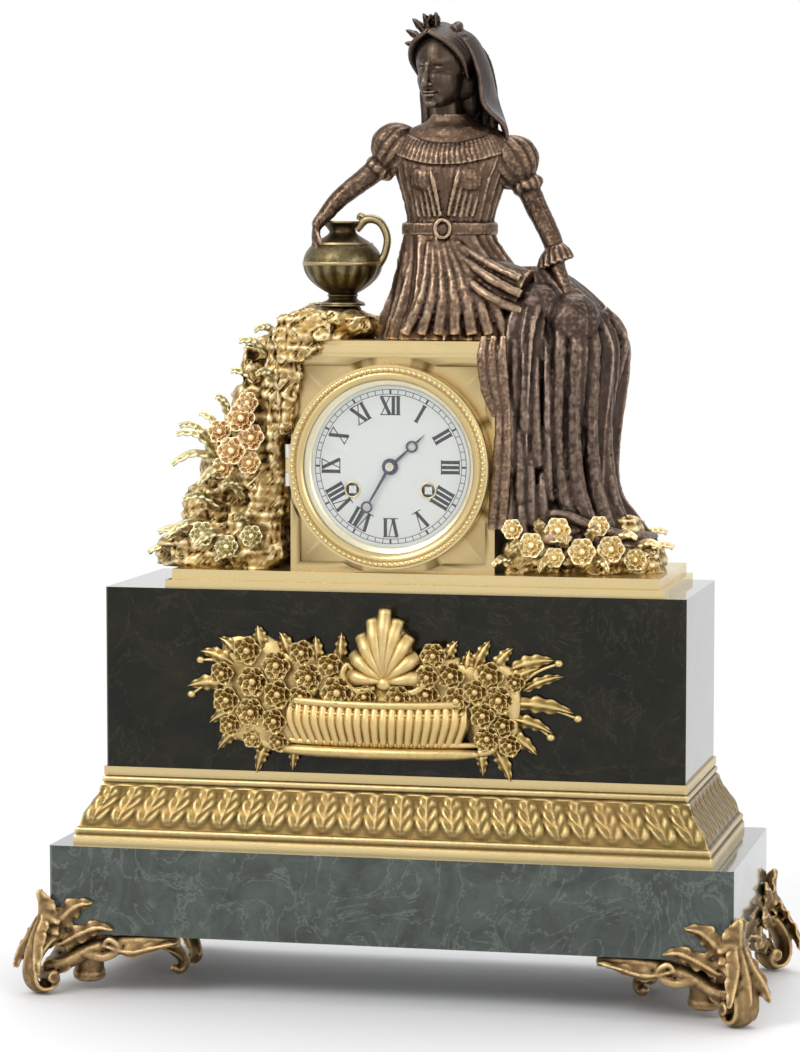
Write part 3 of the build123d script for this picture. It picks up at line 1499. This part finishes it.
def figure_sections(shares, spread=figure_rise, fall=0):
    """Turns shares of the figure's rise, or of the fall below the slab, into oval sections."""
    sections = []
    for x, y, z, wide, deep, lean_x, lean_y, lean_z in shares:
        height = figure_rise if z > 0 else fall
        centre_point = (spread * x, spread * y, slab_top + height * z)
        sections.append((centre_point, spread * wide, spread * deep, (lean_x, lean_y, lean_z)))
    return oval_loft(sections)


def folded_sections(shares, spread, fall):
    """Hanging cloth with upright folds through the same kind of sections."""
    faces = []
    for x, y, z, wide, deep, *_ in shares:
        height = figure_rise if z > 0 else fall
        outline = []
        for index in range(2 * cloak_folds):
            angle = radians(180 * index / cloak_folds)
            out = -cloak_fold_sink if index % 2 else cloak_fold_rise
            outline.append(((spread * wide + out) * cos(angle), (spread * deep + out) * sin(angle)))
        face = make_face(Polyline(*outline, close=True))
        faces.append(Pos(spread * x, spread * y, slab_top + height * z) * face)
    return loft(faces, ruled=True)


def figure_skirt():
    """Gown from the waist to the slab, cut flat where the cloak begins."""
    body = figure_sections(skirt_shares)
    return body - block(
        figure_split_x, figure_rise, -figure_rise, figure_rise, slab_top - overrun, slab_top + figure_rise,
    )


def figure_bodice():
    """Bodice with both shoulders, from the waist to the neck."""
    return figure_sections(bodice_shares)


def figure_head():
    """Neck and head with a plain oval face."""
    return figure_sections(neck_shares) + figure_sections(head_shares)


def figure_hair():
    """Hair and veil behind the head, falling to one shoulder."""
    return figure_sections(hair_shares) - figure_head() - figure_bodice() - arm_on_cloak()


def arm_on_ewer():
    """Arm that reaches down to the ewer."""
    return figure_sections(ewer_arm_shares) - figure_bodice() - ewer()


def arm_on_cloak():
    """Arm that hangs with its hand on the cloak."""
    return figure_sections(cloak_arm_shares) - figure_bodice()


def figure_cloak():
    """Cloak that falls over the knees and the right side of the case to the rocks."""
    fall = slab_top - terrace_top - cloak_hem_height
    body = folded_sections(cloak_shares, cloak_spread, fall) + figure_sections(cloak_edge_shares, cloak_spread, fall)
    edge = case_middle_x + case_width / 2 + case_top_overhang + free_gap
    body -= block(-figure_rise, edge, -figure_rise, figure_rise, terrace_top, slab_top)
    body -= block(-figure_rise, figure_split_x, -figure_rise, figure_rise, slab_top, slab_top + figure_rise)
    return body - arm_on_cloak() - rockwork_right()


# Every node, one file each

corner_foot = foot()

nodes = {
    "lower_plinth": lower_plinth,
    "foot_front_left": lambda: placed_foot(-1, -1),
    "foot_front_right": lambda: placed_foot(1, -1),
    "foot_rear_left": lambda: placed_foot(-1, 1),
    "foot_rear_right": lambda: placed_foot(1, 1),
    "base_bolts": base_bolts,
    "moulded_band": moulded_band,
    "marble_block": marble_block,
    "front_mount": front_mount,
    "terrace_plate": terrace_plate,
    "clock_case": clock_case,
    "case_slab": case_slab,
    "rockwork_left": rockwork_left,
    "rockwork_right": rockwork_right,
    "ewer": ewer,
    "figure_skirt": figure_skirt,
    "figure_bodice": figure_bodice,
    "figure_head": figure_head,
    "figure_hair": figure_hair,
    "arm_on_ewer": arm_on_ewer,
    "arm_on_cloak": arm_on_cloak,
    "figure_cloak": figure_cloak,
    "dial_frame": dial_frame,
    "dial": dial,
    "bezel": bezel,
    "bezel_glass": bezel_glass,
    "hinge_pins": hinge_pins,
    "hour_hand": lambda: hand(
        hour_hand_length, hour_hand_hub_radius, cannon_outer_radius + hour_pipe_wall + 2 * fit_gap,
        hour_hand_offset, hour_hand_deg,
    ),
    "minute_hand": lambda: hand(
        minute_hand_length, minute_hand_hub_radius, cannon_outer_radius + fit_gap, minute_hand_offset,
        minute_hand_deg,
    ),
    "front_plate": front_plate,
    "back_plate": back_plate,
    "pillars": pillars,
    "movement_straps": movement_straps,
    "movement_screws": movement_screws,
    "rear_ring": rear_ring,
    "back_door": back_door,
    "going_barrel": lambda: barrel(going, drum_back, centre, centre_pinion_teeth),
    "strike_barrel": lambda: barrel(strike, drum_front - barrel_wheel_thickness, second, second_pinion_teeth),
    "going_arbor": lambda: winding_arbor(going),
    "strike_arbor": lambda: winding_arbor(strike),
    "clicks": clicks,
    "centre_arbor": centre_arbor,
    "third_wheel": third_wheel,
    "escape_wheel": escape_wheel,
    "anchor": anchor,
    "pallet_cock": pallet_cock,
    "pendulum_rod": pendulum_rod,
    "pendulum_bob": pendulum_bob,
    "rating_nut": rating_nut,
    "second_wheel": strike_second_wheel,
    "count_wheel": count_wheel,
    "pin_wheel": pin_wheel,
    "fly": fly,
    "hammer": hammer,
    "bell_stand": bell_stand,
    "bell": bell,
    "bell_nut": bell_nut,
    "cannon_pinion": cannon_pinion,
    "motion_wheel": motion_wheel,
    "hour_wheel": hour_wheel,
}

for name, make in nodes.items():
    save(make(), name)
    print(name)
